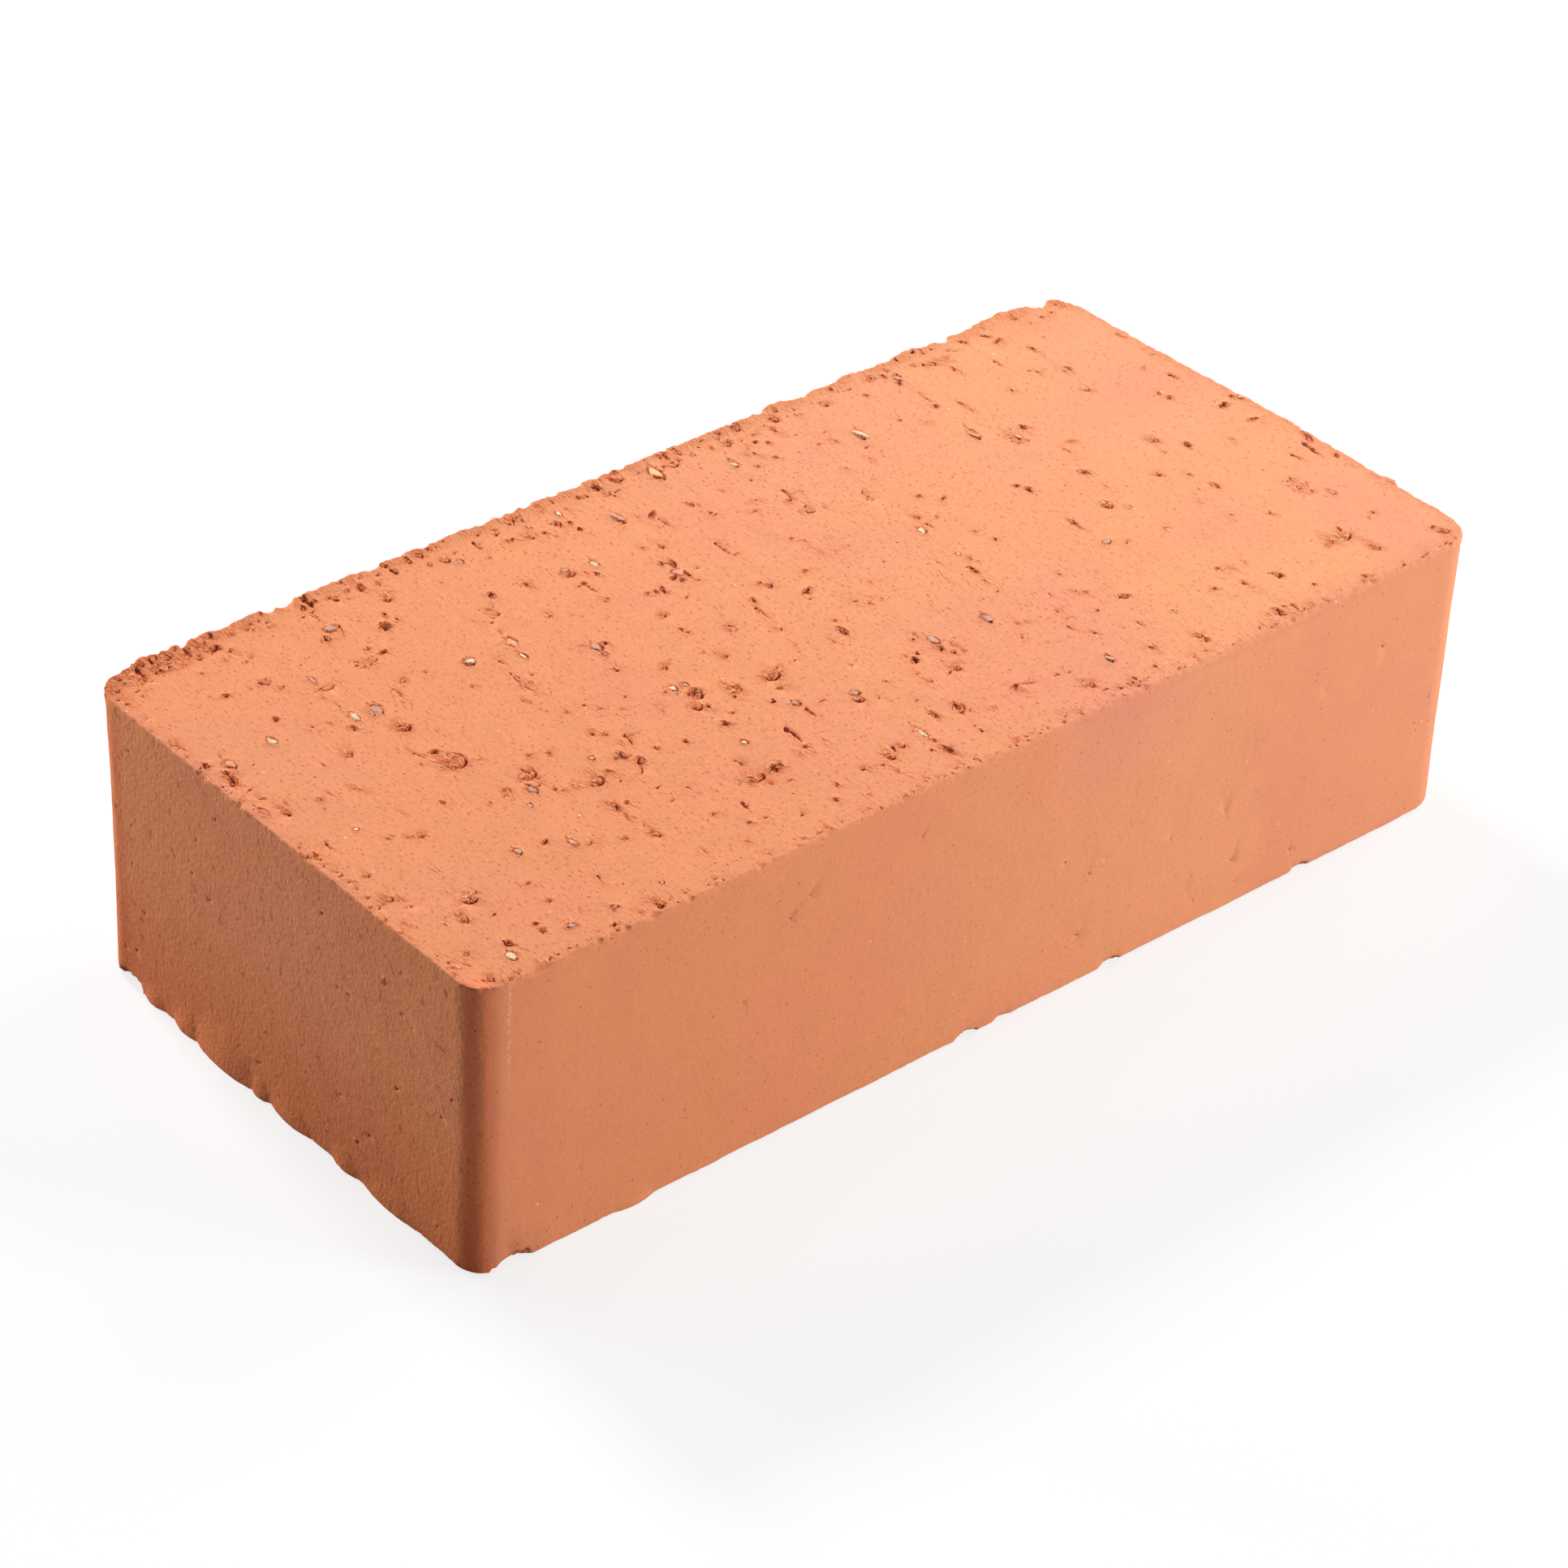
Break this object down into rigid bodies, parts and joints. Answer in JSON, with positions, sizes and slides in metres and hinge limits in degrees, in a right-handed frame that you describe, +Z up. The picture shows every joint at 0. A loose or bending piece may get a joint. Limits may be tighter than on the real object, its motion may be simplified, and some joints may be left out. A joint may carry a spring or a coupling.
{
  "type": "clay brick",
  "caption": "Solid fired clay brick, wire-cut: flat pitted beds, smooth faces, rounded upright corners and torn arrises.",
  "frame": {"origin": "centre of the lower bed, the face that the brick lies on", "axes": "+X along the stretcher faces, which are the longest, +Y across the header faces and +Z up from bed to bed"},
  "size_m": [0.25, 0.12, 0.065],
  "materials": {
    "fired_clay": "matte unglazed fired clay, die-smooth on the upright faces and wire-cut on the beds"
  },
  "bodies": {
    "root": {"brick": "fired_clay"}
  },
  "joints": []
}
